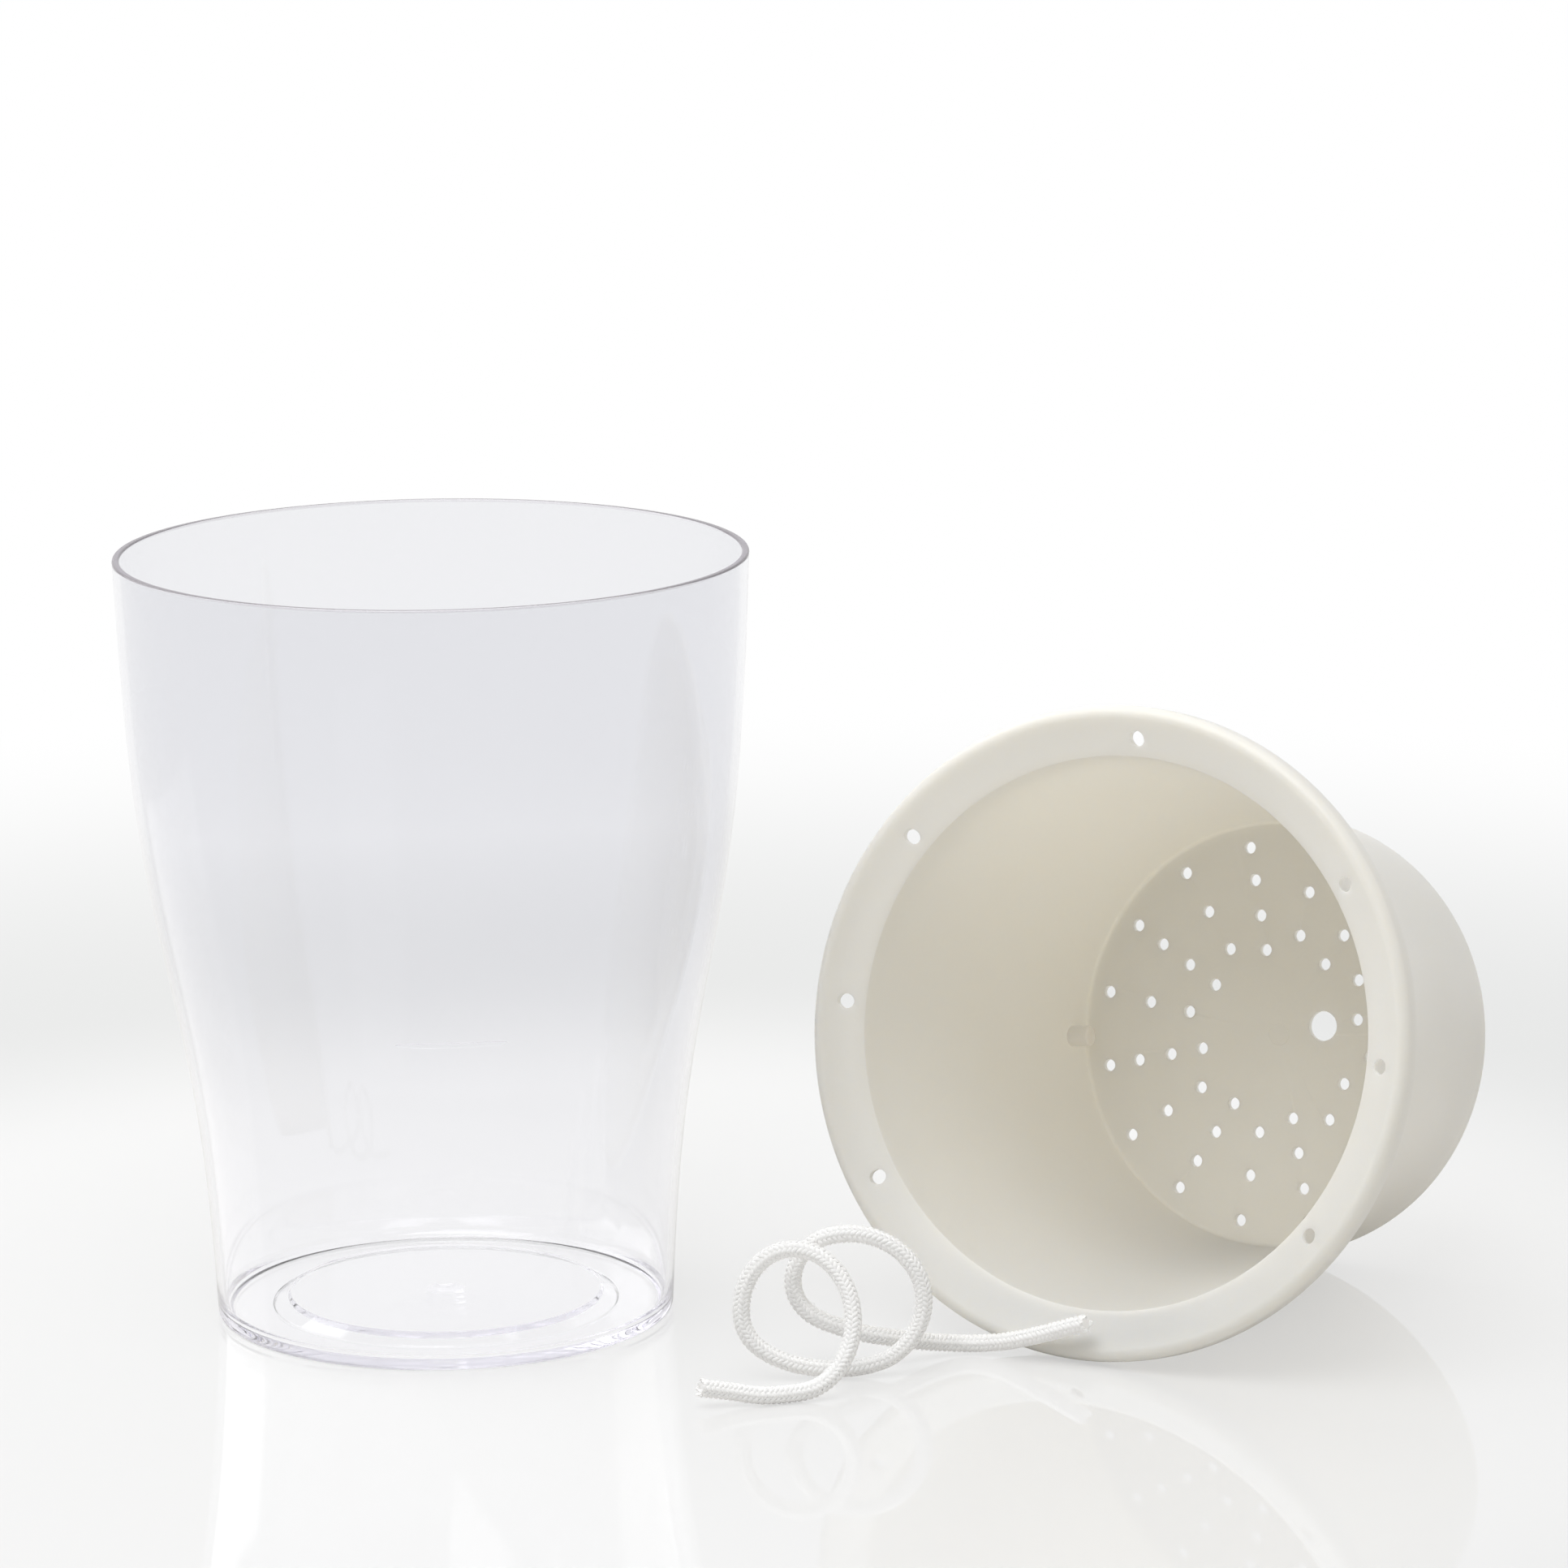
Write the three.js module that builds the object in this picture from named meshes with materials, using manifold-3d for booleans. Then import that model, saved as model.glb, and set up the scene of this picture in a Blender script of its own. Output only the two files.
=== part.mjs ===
// Self-watering pot, set out in its three pieces: a clear outer pot that holds the water, a drained liner
// that lies on its side next to it, and a soft cord wick in two standing loops in front.
// Millimetres, +Z up. The pot and the liner rest on z = 0. The middle of their outline is over the origin.
import * as THREE from 'three';
import { mergeVertices } from 'three/addons/utils/BufferGeometryUtils.js';
import Module from 'manifold-3d';

const wasm = await Module();
wasm.setup();

// Outer pot: wall
const POT_HEIGHT = 160;
const RIM_RADIUS = 65;
const FOOT_RADIUS = 47.5;
const POT_WALL = 1.5;
const POT_DRAFT = 0.028;
const WAIST_HEIGHT = 72.5;
const WAIST_SOFTNESS = 40;
const RIM_EDGE = 0.3;
const FOOT_EDGE = 0.8;

// Outer pot: base
const POT_FLOOR = 2;
const POT_FLOOR_CORNER = 1.6;
const FOOT_RING = 11.5;
const DISC_FOOT_RADIUS = FOOT_RADIUS - FOOT_RING;
const DISC_SLOPE = 3.6;
const DISC_RADIUS = DISC_FOOT_RADIUS - DISC_SLOPE;
const DISC_RISE = 2;
const GATE_RADIUS = 2.4;
const GATE_HEIGHT = 0.9;

// Liner: flange, whose skirt hooks over the pot's rim
const SEAT_CLEARANCE = 0.2;
const FLANGE_WALL = 1.3;
const FLANGE_SLOPE = THREE.MathUtils.degToRad(28);
const FLANGE_WIDTH = 10.2;
const SHOULDER_RADIUS = 3.6;
const SKIRT_DEPTH = 4;
const SKIRT_RADIUS = RIM_RADIUS + SEAT_CLEARANCE + FLANGE_WALL;

// Liner: body
const MOUTH_RADIUS = SKIRT_RADIUS - FLANGE_WIDTH;
const LINER_BASE_RADIUS = 45.6;
const LINER_DEPTH = 87.7;
const LINER_WALL = 1.5;
const LINER_FLOOR = 1.6;
const LINER_CORNER = 1;

// Liner: holes and peg, with room for the cord in the wick's hole
const CORD_RADIUS = 1.85;
const VENT_RADIUS = 1.55;
const VENT_INSET = 6.5;
const VENT_CIRCLE = SKIRT_RADIUS - VENT_INSET;
const VENT_ANGLES = [0, 36, 90, 144, 180, 216, 270, 324];
const DRAIN_RADIUS = 1.3;
const DRAIN_ARMS = 8;
const DRAIN_TURN = 16;
const LONG_ARM_INSETS = [5, 12.1, 19.8, 27.3];
const SHORT_ARM_INSETS = [4.6, 14.5, 24];
const WICK_CLEARANCE = 1.35;
const WICK_HOLE_RADIUS = CORD_RADIUS + WICK_CLEARANCE;
const WICK_HOLE_INSET = 35.3;
const WICK_HOLE_CIRCLE = LINER_BASE_RADIUS - WICK_HOLE_INSET;
const PEG_RADIUS = 2.2;
const PEG_LENGTH = 4.5;
const PEG_HEIGHT = 5.5;
const PEG_ANGLE = 187;

// Where the liner lies, from the pot's axis
const SIDE_GAP = 3.4;
const LINER_SIDE = RIM_RADIUS + SKIRT_RADIUS + SIDE_GAP;
const LINER_MOUTH_BACK = 40.2;

// Wick: a cord whose two loops stand on the ground, one behind the other
const GROUND_GAP = 0.1;
const CURL_HEADING = 28.9;
const CURL_CENTRES = [73.2, 84.6];
const CURL_HALF_WIDTHS = [11.2, 14.2];
const CURL_HALF_HEIGHTS = [12.8, 13.5];
const CURL_LEANS = [3.2, -1.8];
const CURL_SHIFT = [0.79, 1.09];
const CURL_START = -69.8;
const CURL_PITCH = 15.8;
const CURL_LOOPS = 19 / 12;
const LOOP_STEPS = 24;
const WICK_HEAD = [
  [53.7, -73.8, 4.4], [56.7, -72.9, 3.7], [59.9, -72, 3], [63.2, -71.8, 2.4], [66.5, -71.6, 2],
];
const WICK_TAIL = [
  [74.6, -47.3, 24.3], [73.2, -46.9, 21.9], [72.5, -46.7, 19.1], [72.7, -46.8, 16.2], [73.9, -47.1, 13.6],
  [75.9, -47.6, 11.6], [78.4, -47.9, 10.2], [81.1, -48.1, 9.2], [83.9, -48.1, 8.2], [89.3, -47, 6.7],
  [94.4, -44.7, 5.3], [99.2, -41.9, 3.8], [104.3, -39.4, 2.7], [107.1, -38.8, 2.4], [110, -38.9, 2.4],
  [115.4, -40.8, 3.3], [120, -43.7, 5], [124.7, -46.5, 7], [129.4, -49.2, 9.1], [131.7, -50.6, 10],
];

// Fineness of the facets
const AROUND = 72;
const WALL_STEPS = 14;
const SHOULDER_STEPS = 7;
const DOME_STEPS = 4;
const HOLE_SIDES = 12;
const WICK_HOLE_SIDES = 24;
const CORD_SIDES = 8;
const CORD_STEPS = 90;

function turned(profile) {
  const points = profile.map(([radius, height]) => new THREE.Vector2(radius, height));
  return new THREE.LatheGeometry(points, AROUND).rotateX(Math.PI / 2);
}

function solidFrom(geometry) {
  const bare = geometry.index ? geometry.clone() : geometry;
  bare.deleteAttribute('normal');
  bare.deleteAttribute('uv');
  const merged = mergeVertices(bare, 1e-4);
  const corners = merged.index.array;
  const triangles = [];
  for (let i = 0; i < corners.length; i += 3) {
    const [a, b, c] = corners.slice(i, i + 3);
    if (a !== b && b !== c && c !== a) {
      triangles.push(a, b, c);
    }
  }
  const mesh = new wasm.Mesh({
    numProp: 3,
    vertProperties: new Float32Array(merged.attributes.position.array),
    triVerts: new Uint32Array(triangles),
  });
  return new wasm.Manifold(mesh);
}

function geometryFrom(solid) {
  const { vertProperties, triVerts } = solid.getMesh();
  const geometry = new THREE.BufferGeometry();
  geometry.setAttribute('position', new THREE.BufferAttribute(vertProperties, 3));
  geometry.setIndex(new THREE.BufferAttribute(triVerts, 1));
  geometry.computeVertexNormals();
  return geometry;
}

function arc(centre, radius, from, to, steps) {
  const points = [];
  for (let i = 0; i <= steps; i += 1) {
    const angle = THREE.MathUtils.lerp(from, to, i / steps);
    points.push([centre[0] + radius * Math.cos(angle), centre[1] + radius * Math.sin(angle)]);
  }
  return points;
}

// Outer radius of the pot at a height: a straight draft with a soft step at the waist
function potRadius(height) {
  const step = (z) => Math.tanh((z - WAIST_HEIGHT) / WAIST_SOFTNESS);
  const share = (step(height) - step(0)) / (step(POT_HEIGHT) - step(0));
  const swell = RIM_RADIUS - FOOT_RADIUS - POT_DRAFT * POT_HEIGHT;
  return FOOT_RADIUS + POT_DRAFT * height + swell * share;
}

function potWall(from, to, inset) {
  const points = [];
  for (let i = 0; i <= WALL_STEPS; i += 1) {
    const height = THREE.MathUtils.lerp(from, to, i / WALL_STEPS);
    points.push([potRadius(height) - inset, height]);
  }
  return points;
}

function outerPot() {
  const discTop = POT_FLOOR + DISC_RISE;
  const cornerTop = POT_FLOOR + POT_FLOOR_CORNER;
  const rimBreak = POT_HEIGHT - RIM_EDGE;
  const underside = [
    [0, DISC_RISE],
    [DISC_RADIUS, DISC_RISE],
    [DISC_FOOT_RADIUS, 0],
    [FOOT_RADIUS - FOOT_EDGE, 0],
  ];
  const rim = [
    [RIM_RADIUS - RIM_EDGE, POT_HEIGHT],
    [RIM_RADIUS - POT_WALL + RIM_EDGE, POT_HEIGHT],
  ];
  const floor = [
    [potRadius(POT_FLOOR) - POT_WALL - POT_FLOOR_CORNER, POT_FLOOR],
    [DISC_FOOT_RADIUS, POT_FLOOR],
    [DISC_RADIUS, discTop],
  ];
  const gate = [];
  for (let i = 0; i <= DOME_STEPS; i += 1) {
    const angle = (Math.PI / 2) * (i / DOME_STEPS);
    const radius = i === DOME_STEPS ? 0 : GATE_RADIUS * Math.cos(angle);
    gate.push([radius, discTop + GATE_HEIGHT * Math.sin(angle)]);
  }
  return turned([
    ...underside,
    ...potWall(FOOT_EDGE, rimBreak, 0),
    ...rim,
    ...potWall(rimBreak, cornerTop, POT_WALL),
    ...floor,
    ...gate,
  ]);
}

// Heights of the upright liner, from the underside of its base
const CREST = LINER_FLOOR + LINER_DEPTH;
const SHOULDER_CENTRE = [SKIRT_RADIUS - SHOULDER_RADIUS, CREST - SHOULDER_RADIUS];
const SHOULDER_SWEEP = Math.PI / 2 + FLANGE_SLOPE;
const SKIRT_END = CREST - SKIRT_DEPTH;

// Height of the flange's dished face at a radius, set down by a wall for its underside
function flangeFace(radius, wall) {
  const reach = SHOULDER_RADIUS - wall;
  const edge = SHOULDER_CENTRE[0] + reach * Math.cos(SHOULDER_SWEEP);
  const edgeHeight = SHOULDER_CENTRE[1] + reach * Math.sin(SHOULDER_SWEEP);
  return edgeHeight - (edge - radius) * Math.tan(FLANGE_SLOPE);
}

const MOUTH_HEIGHT = flangeFace(MOUTH_RADIUS, 0);

function linerRadius(height) {
  const share = (height - LINER_FLOOR) / (MOUTH_HEIGHT - LINER_FLOOR);
  return THREE.MathUtils.lerp(LINER_BASE_RADIUS, MOUTH_RADIUS, share);
}

function linerOutline() {
  const neck = flangeFace(MOUTH_RADIUS + LINER_WALL, FLANGE_WALL);
  const outside = [
    [0, 0],
    [linerRadius(0) + LINER_WALL - LINER_CORNER, 0],
    [linerRadius(LINER_CORNER) + LINER_WALL, LINER_CORNER],
    [linerRadius(neck) + LINER_WALL, neck],
  ];
  const hook = [
    ...arc(SHOULDER_CENTRE, SHOULDER_RADIUS - FLANGE_WALL, SHOULDER_SWEEP, 0, SHOULDER_STEPS),
    [SKIRT_RADIUS - FLANGE_WALL, SKIRT_END],
    [SKIRT_RADIUS, SKIRT_END],
    ...arc(SHOULDER_CENTRE, SHOULDER_RADIUS, 0, SHOULDER_SWEEP, SHOULDER_STEPS),
  ];
  const inside = [
    [MOUTH_RADIUS, MOUTH_HEIGHT],
    [linerRadius(LINER_FLOOR + LINER_CORNER), LINER_FLOOR + LINER_CORNER],
    [LINER_BASE_RADIUS - LINER_CORNER, LINER_FLOOR],
    [0, LINER_FLOOR],
  ];
  return [...outside, ...hook, ...inside];
}

function drill(radius, sides, circle, degrees, low, high) {
  const angle = THREE.MathUtils.degToRad(degrees);
  const tool = new THREE.CylinderGeometry(radius, radius, high - low, sides).rotateX(Math.PI / 2);
  tool.translate(circle * Math.cos(angle), circle * Math.sin(angle), (low + high) / 2);
  return solidFrom(tool);
}

function linerDrills() {
  const margin = LINER_FLOOR;
  const through = [-margin, LINER_FLOOR + margin];
  const throughFlange = [SKIRT_END - SKIRT_DEPTH, CREST + margin];
  const armStep = 360 / DRAIN_ARMS;
  const drills = [drill(WICK_HOLE_RADIUS, WICK_HOLE_SIDES, WICK_HOLE_CIRCLE, DRAIN_TURN, ...through)];
  for (let arm = 0; arm < DRAIN_ARMS; arm += 1) {
    const long = DRAIN_TURN + arm * armStep;
    const short = long + armStep / 2;
    for (const inset of LONG_ARM_INSETS) {
      drills.push(drill(DRAIN_RADIUS, HOLE_SIDES, LINER_BASE_RADIUS - inset, long, ...through));
    }
    for (const inset of SHORT_ARM_INSETS) {
      drills.push(drill(DRAIN_RADIUS, HOLE_SIDES, LINER_BASE_RADIUS - inset, short, ...through));
    }
  }
  for (const angle of VENT_ANGLES) {
    drills.push(drill(VENT_RADIUS, HOLE_SIDES, VENT_CIRCLE, angle, ...throughFlange));
  }
  return drills;
}

// Short round peg that stands inwards from the wall, rooted in the middle of the wall
function linerPeg() {
  const height = LINER_FLOOR + PEG_HEIGHT;
  const root = linerRadius(height) + LINER_WALL / 2;
  const tip = linerRadius(height) - PEG_LENGTH;
  const peg = new THREE.CylinderGeometry(PEG_RADIUS, PEG_RADIUS, root - tip, HOLE_SIDES);
  peg.rotateZ(Math.PI / 2);
  peg.translate((root + tip) / 2, 0, height);
  peg.rotateZ(THREE.MathUtils.degToRad(PEG_ANGLE));
  return solidFrom(peg);
}

function liner() {
  let solid = solidFrom(turned(linerOutline())).add(linerPeg());
  for (const tool of linerDrills()) {
    solid = solid.subtract(tool);
  }
  return geometryFrom(solid);
}

// Lean of the liner's axis when it lies on the ground on its skirt's back edge and its base's edge
function linerLean() {
  const edges = [
    [linerRadius(0) + LINER_WALL - LINER_CORNER, 0],
    [linerRadius(LINER_CORNER) + LINER_WALL, LINER_CORNER],
  ];
  const leans = edges.map(([radius, height]) => Math.atan2(SKIRT_RADIUS - radius, SKIRT_END - height));
  return Math.min(...leans);
}

function layLiner(mesh) {
  const lean = linerLean();
  mesh.rotation.x = Math.PI / 2 - lean;
  mesh.position.set(
    LINER_SIDE,
    LINER_MOUTH_BACK + MOUTH_HEIGHT * Math.cos(lean),
    SKIRT_RADIUS * Math.cos(lean) - SKIRT_END * Math.sin(lean),
  );
}

// Point on the wick's loops: a turn that leans a little, moves back steadily and shifts to the next centre
// where it touches the ground
function curlPoint(turn) {
  const shift = THREE.MathUtils.smoothstep(turn, ...CURL_SHIFT);
  const centre = THREE.MathUtils.lerp(...CURL_CENTRES, shift);
  const halfWidth = THREE.MathUtils.lerp(...CURL_HALF_WIDTHS, shift);
  const halfHeight = THREE.MathUtils.lerp(...CURL_HALF_HEIGHTS, shift);
  const lean = THREE.MathUtils.lerp(...CURL_LEANS, shift);
  const angle = 2 * Math.PI * turn;
  const rise = 1 - Math.cos(angle);
  return new THREE.Vector3(
    centre + halfWidth * Math.sin(angle),
    CURL_START + CURL_PITCH * turn + lean * rise,
    GROUND_GAP + CORD_RADIUS + halfHeight * rise,
  );
}

function wickRoute() {
  const points = WICK_HEAD.map((point) => new THREE.Vector3(...point));
  const curlSteps = Math.round(CURL_LOOPS * LOOP_STEPS);
  for (let i = 0; i <= curlSteps; i += 1) {
    points.push(curlPoint(i / LOOP_STEPS));
  }
  points.push(...WICK_TAIL.map((point) => new THREE.Vector3(...point)));
  return new THREE.CatmullRomCurve3(points);
}

function leastGap(route) {
  const points = route.getSpacedPoints(CORD_STEPS * 4);
  const apart = Math.ceil((6 * CORD_RADIUS) / (route.getLength() / (CORD_STEPS * 4)));
  let least = Infinity;
  for (let i = 0; i < points.length; i += 1) {
    for (let j = i + apart; j < points.length; j += 1) {
      least = Math.min(least, points[i].distanceTo(points[j]) - 2 * CORD_RADIUS);
    }
  }
  return least;
}

function wick() {
  const route = wickRoute();
  const gap = leastGap(route).toFixed(2);
  console.log(`wick: length ${route.getLength().toFixed(1)} mm, least gap to itself ${gap} mm`);
  const section = new THREE.Shape();
  for (let i = 0; i < CORD_SIDES; i += 1) {
    const angle = (2 * Math.PI * i) / CORD_SIDES;
    const corner = [CORD_RADIUS * Math.cos(angle), CORD_RADIUS * Math.sin(angle)];
    if (i === 0) {
      section.moveTo(...corner);
    } else {
      section.lineTo(...corner);
    }
  }
  section.closePath();
  return new THREE.ExtrudeGeometry(section, { extrudePath: route, steps: CORD_STEPS, bevelEnabled: false });
}

function named(name, geometry, material) {
  const mesh = new THREE.Mesh(geometry, new THREE.MeshStandardMaterial(material));
  mesh.name = name;
  return mesh;
}

const pot = named('outer_pot', outerPot(), {
  color: 0xe8ebf2, roughness: 0.06, metalness: 0, transparent: true, opacity: 0.35,
});
const insert = named('liner', liner(), { color: 0xe3ded2, roughness: 0.45, metalness: 0 });
const cord = named('wick', wick(), { color: 0xf2efeb, roughness: 0.95, metalness: 0 });
layLiner(insert);
cord.rotation.z = THREE.MathUtils.degToRad(CURL_HEADING);

// The middle of the two shells' outline stands over the origin
const shells = new THREE.Group().add(pot, insert);
const middle = new THREE.Box3().setFromObject(shells, true).getCenter(new THREE.Vector3());
const group = new THREE.Group().add(shells, cord);
group.position.set(-middle.x, -middle.y, 0);

export default group;
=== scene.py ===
import math

import bmesh
import bpy
import numpy as np
from mathutils import Matrix, Vector


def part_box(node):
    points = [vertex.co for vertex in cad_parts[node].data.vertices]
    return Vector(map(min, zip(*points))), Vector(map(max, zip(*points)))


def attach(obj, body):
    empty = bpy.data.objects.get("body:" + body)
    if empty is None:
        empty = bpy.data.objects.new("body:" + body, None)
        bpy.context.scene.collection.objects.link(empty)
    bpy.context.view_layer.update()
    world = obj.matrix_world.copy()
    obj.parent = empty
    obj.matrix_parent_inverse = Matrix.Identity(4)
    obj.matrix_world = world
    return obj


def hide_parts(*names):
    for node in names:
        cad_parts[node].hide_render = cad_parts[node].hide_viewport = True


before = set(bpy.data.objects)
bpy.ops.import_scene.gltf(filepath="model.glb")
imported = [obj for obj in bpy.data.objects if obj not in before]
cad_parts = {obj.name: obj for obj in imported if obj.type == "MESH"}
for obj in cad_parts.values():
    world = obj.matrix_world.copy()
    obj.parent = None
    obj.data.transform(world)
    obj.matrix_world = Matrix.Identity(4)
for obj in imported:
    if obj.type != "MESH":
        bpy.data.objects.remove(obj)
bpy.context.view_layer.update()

# Outer pot: the cup that holds the water, in thin clear plastic with a faint violet tint. It is moulded
# in one shot through a gate in the middle of its base, where a raised disc leaves a flat ring to stand
# on. A long low bar raised on the inside of the wall shows how far to fill it.
MM = 0.001
pot_low, pot_high = (Vector(corner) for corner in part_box("outer_pot"))
pot_axis = (pot_low + pot_high) / 2
POT_HEIGHT = pot_high.z - pot_low.z
RIM_RADIUS = (pot_high.x - pot_low.x) / 2
FOOT_RADIUS = 47.5 * MM
POT_WALL = 1.5 * MM
POT_DRAFT = 0.028
WAIST_HEIGHT = 72.5 * MM
WAIST_SOFTNESS = 40 * MM
RIM_ROUND = 0.45 * MM
FOOT_ROUND = 1.2 * MM
FOOT_GAP = 0.04 * MM
POT_FLOOR = 2 * MM
POT_FLOOR_ROUND = 2.4 * MM
DISC_FOOT_RADIUS = FOOT_RADIUS - 11.5 * MM
DISC_RADIUS = DISC_FOOT_RADIUS - 3.6 * MM
DISC_RISE = 2 * MM
DISC_ROUND = 0.7 * MM
GATE_FOOT_RADIUS = 3.84 * MM
GATE_FOOT_ROUND = 2.4 * MM
GATE_TOP_RADIUS = 1.92 * MM
GATE_TOP_ROUND = 1.44 * MM
GATE_HEIGHT = 0.9 * MM
POT_ROW = 3 * MM
POT_COLUMNS = 240
LEVEL_HEIGHT = 70 * MM
LEVEL_AZIMUTH = math.radians(-56)
LEVEL_HALF_LENGTH = 11.2 * MM
LEVEL_HALF_HEIGHT = 0.62 * MM
LEVEL_RELIEF = 0.12 * MM
LEVEL_SHOULDER = 0.45
LEVEL_COLUMN = 0.16 * MM
LEVEL_ROW = 0.07 * MM
LEVEL_LENGTH_MARGIN = 1.06
LEVEL_HEIGHT_MARGIN = 1.3
ARC_STEP = math.radians(11)
ARC_LEAST_STEPS = 3
FILLET_MOST_OF_SIDE = 0.48
ON_AXIS = 1e-7


def pot_radius(height):
    """Radius of the pot's outside: a straight draft with a soft step at the waist."""
    foot, here, rim = (math.tanh((z - WAIST_HEIGHT) / WAIST_SOFTNESS) for z in (0, height, POT_HEIGHT))
    swell = RIM_RADIUS - FOOT_RADIUS - POT_DRAFT * POT_HEIGHT
    return FOOT_RADIUS + POT_DRAFT * height + swell * (here - foot) / (rim - foot)


def rounded(corners):
    """Outline through corners of a radius, a height and a fillet, with an arc at each fillet."""
    outline = []
    for index, (radius, height, fillet) in enumerate(corners):
        corner = Vector((radius, height))
        if not fillet:
            outline.append(corner)
            continue
        back = Vector(corners[index - 1][:2]) - corner
        on = Vector(corners[index + 1][:2]) - corner
        half = back.angle(on) / 2
        longest = FILLET_MOST_OF_SIDE * min(back.length, on.length)
        reach = min(fillet / math.tan(half), longest)
        centre = corner + (back.normalized() + on.normalized()).normalized() * reach / math.cos(half)
        spoke = corner + back.normalized() * reach - centre
        sweep = spoke.angle_signed(corner + on.normalized() * reach - centre)
        steps = max(ARC_LEAST_STEPS, math.ceil(abs(sweep) / ARC_STEP))
        for step in range(steps + 1):
            outline.append(centre + Matrix.Rotation(-sweep * step / steps, 2) @ spoke)
    return outline


def turned(name, outline, angles, relief=None):
    """Skin of an outline of radii and heights turned round the upright axis, less any relief."""
    points, rings, faces = [], [], []
    for index, (radius, height) in enumerate(outline):
        start = len(points)
        if radius < ON_AXIS:
            points.append((0, 0, height))
            rings.append([start] * len(angles))
            continue
        for angle in angles:
            reach = radius - (relief(index, angle, height) if relief else 0)
            points.append((reach * math.cos(angle), reach * math.sin(angle), height))
        rings.append(list(range(start, len(points))))
    for lower, upper in zip(rings, rings[1:]):
        for column in range(len(angles)):
            on = (column + 1) % len(angles)
            corners = [lower[column], lower[on], upper[on], upper[column]]
            face = list(dict.fromkeys(corners))
            if len(face) > 2:
                faces.append(face)
    mesh = bpy.data.meshes.new(name)
    mesh.from_pydata(points, [], faces)
    return mesh


def piece(name, mesh, finish, crease):
    """A smooth-shaded object with sharp edges where its faces turn by more than the crease, in degrees."""
    mesh.shade_smooth()
    mesh.set_sharp_from_angle(angle=math.radians(crease))
    mesh.materials.clear()
    mesh.materials.append(finish)
    thing = bpy.data.objects.new(name, mesh)
    bpy.context.collection.objects.link(thing)
    return thing


def rows(low, high, spacing):
    """Evenly spaced values from low to high, both included."""
    return np.linspace(low, high, max(2, math.ceil(abs(high - low) / spacing) + 1)).tolist()


def full_turn(columns):
    """Even angles round a full turn."""
    return [2 * math.pi * column / columns for column in range(columns)]


level_band = LEVEL_HEIGHT_MARGIN * LEVEL_HALF_HEIGHT
level_radius = pot_radius(LEVEL_HEIGHT) - POT_WALL
level_sweep = LEVEL_LENGTH_MARGIN * LEVEL_HALF_LENGTH / level_radius
pot_angles = [
    angle for angle in full_turn(POT_COLUMNS)
    if abs(math.remainder(angle - LEVEL_AZIMUTH, 2 * math.pi)) > level_sweep
]
pot_angles += [
    LEVEL_AZIMUTH % (2 * math.pi) + angle
    for angle in rows(-level_sweep, level_sweep, LEVEL_COLUMN / level_radius)
]
pot_angles.sort()

outside_rows = rows(2 * FOOT_ROUND, POT_HEIGHT - 2 * RIM_ROUND, POT_ROW)
inside_rows = rows(POT_HEIGHT - 2 * RIM_ROUND, LEVEL_HEIGHT + level_band + POT_ROW, POT_ROW)
inside_rows += rows(LEVEL_HEIGHT + level_band, LEVEL_HEIGHT - level_band, LEVEL_ROW)
inside_rows += rows(LEVEL_HEIGHT - level_band - POT_ROW, POT_FLOOR + 2 * POT_FLOOR_ROUND, POT_ROW)
disc_top = POT_FLOOR + DISC_RISE
pot_outline = rounded([
    (0, DISC_RISE, 0),
    (DISC_RADIUS, DISC_RISE, DISC_ROUND),
    (DISC_FOOT_RADIUS, FOOT_GAP, DISC_ROUND),
    (FOOT_RADIUS, FOOT_GAP, FOOT_ROUND),
    *((pot_radius(height), height, 0) for height in outside_rows),
    (RIM_RADIUS, POT_HEIGHT, RIM_ROUND),
    (RIM_RADIUS - POT_WALL, POT_HEIGHT, RIM_ROUND),
    *((pot_radius(height) - POT_WALL, height, 0) for height in inside_rows),
    (pot_radius(POT_FLOOR) - POT_WALL, POT_FLOOR, POT_FLOOR_ROUND),
    (DISC_FOOT_RADIUS, POT_FLOOR, DISC_ROUND),
    (DISC_RADIUS, disc_top, DISC_ROUND),
    (GATE_FOOT_RADIUS, disc_top, GATE_FOOT_ROUND),
    (GATE_TOP_RADIUS, disc_top + GATE_HEIGHT, GATE_TOP_ROUND),
    (0, disc_top + GATE_HEIGHT, 0),
])
rim_row = max(range(len(pot_outline)), key=lambda row: pot_outline[row].y)


def eased(share):
    """A share from 0 to 1 with a smooth start and end."""
    return share * share * (3 - 2 * share)


def fill_bar(row, angle, height):
    """How far the raised fill bar stands in from the inside of the wall."""
    if row < rim_row or abs(height - LEVEL_HEIGHT) > level_band:
        return 0
    along = math.remainder(angle - LEVEL_AZIMUTH, 2 * math.pi) * level_radius / LEVEL_HALF_LENGTH
    if abs(along) >= 1:
        return 0
    half_height = LEVEL_HALF_HEIGHT * math.sqrt(1 - along ** 4)
    inside = 1 - min(1, abs(height - LEVEL_HEIGHT) / half_height)
    return LEVEL_RELIEF * eased(min(1, inside / LEVEL_SHOULDER))


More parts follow.
